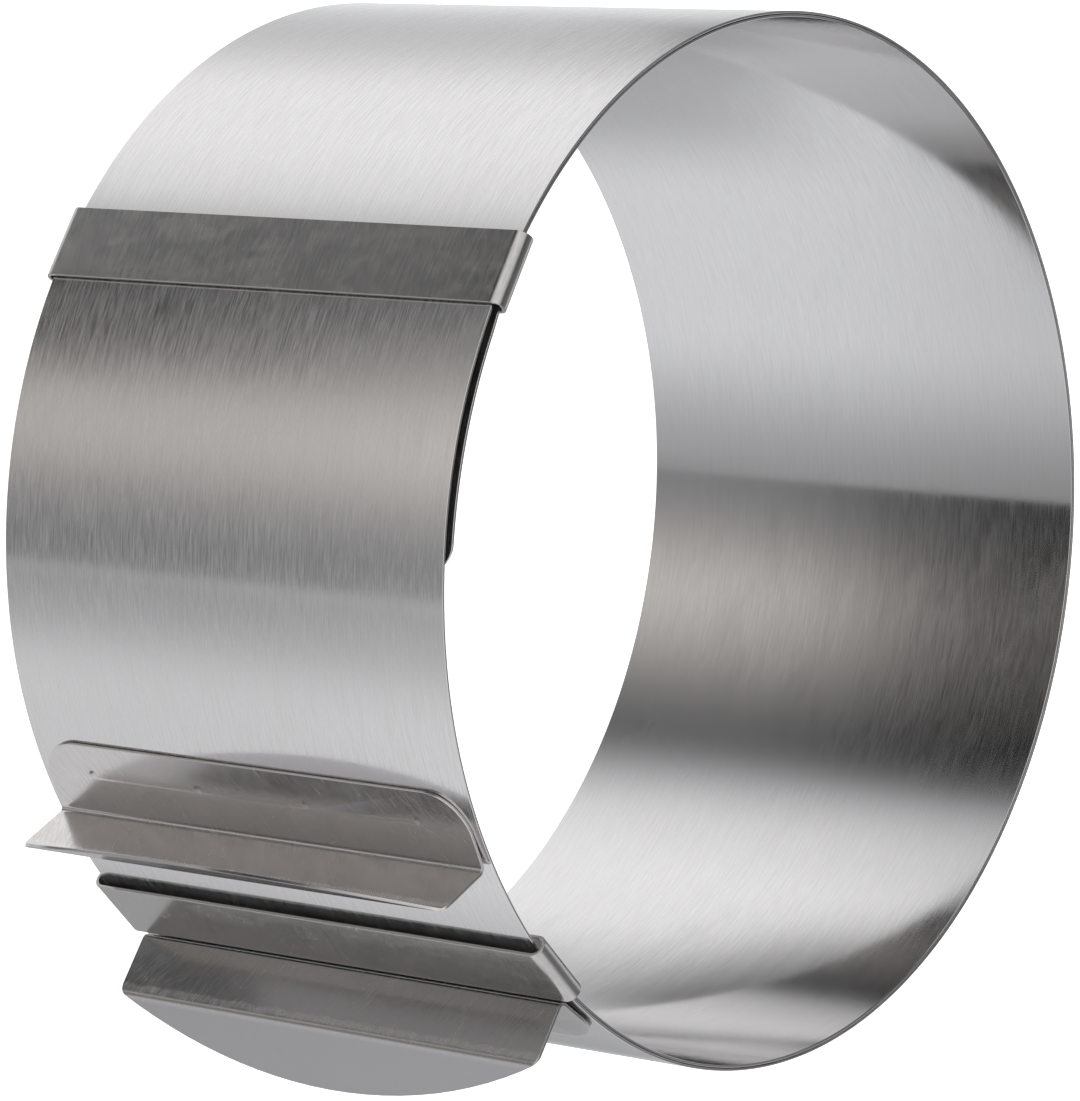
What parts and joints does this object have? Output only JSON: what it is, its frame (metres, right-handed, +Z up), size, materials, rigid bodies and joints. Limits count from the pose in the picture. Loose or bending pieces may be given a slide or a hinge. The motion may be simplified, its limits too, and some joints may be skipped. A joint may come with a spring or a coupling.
{
  "type": "adjustable cake ring",
  "caption": "Adjustable cake ring: a steel band wound nearly twice round, held by folded keepers, with finger grips that slide the keeper along the band.",
  "frame": {"origin": "middle of the whole object's outline, on the surface it stands on", "axes": "+Z up along the ring's axis, the two finger grips face -Y"},
  "size_m": [0.16, 0.1752, 0.088],
  "materials": {
    "band_steel": "satin stainless spring strip, fine grain running round the ring",
    "keeper_steel": "folded stainless sheet, finely brushed, slightly darker than the band",
    "grip_steel": "smooth stainless sheet with light scratches and tool marks along its crease"
  },
  "bodies": {
    "ring": {"steel_band": "band_steel", "end_keeper": "keeper_steel", "fixed_grip": "grip_steel"},
    "slider": {"sliding_keeper": "keeper_steel", "sliding_grip": "grip_steel"}
  },
  "joints": [
    {"name": "keeper_slide", "type": "hinge", "parent": "ring", "child": "slider", "pos_m": [0.00003, 0.00761, 0.04401], "axis": [0, 0, 1], "range_deg": [-10.5, 260.4]}
  ]
}
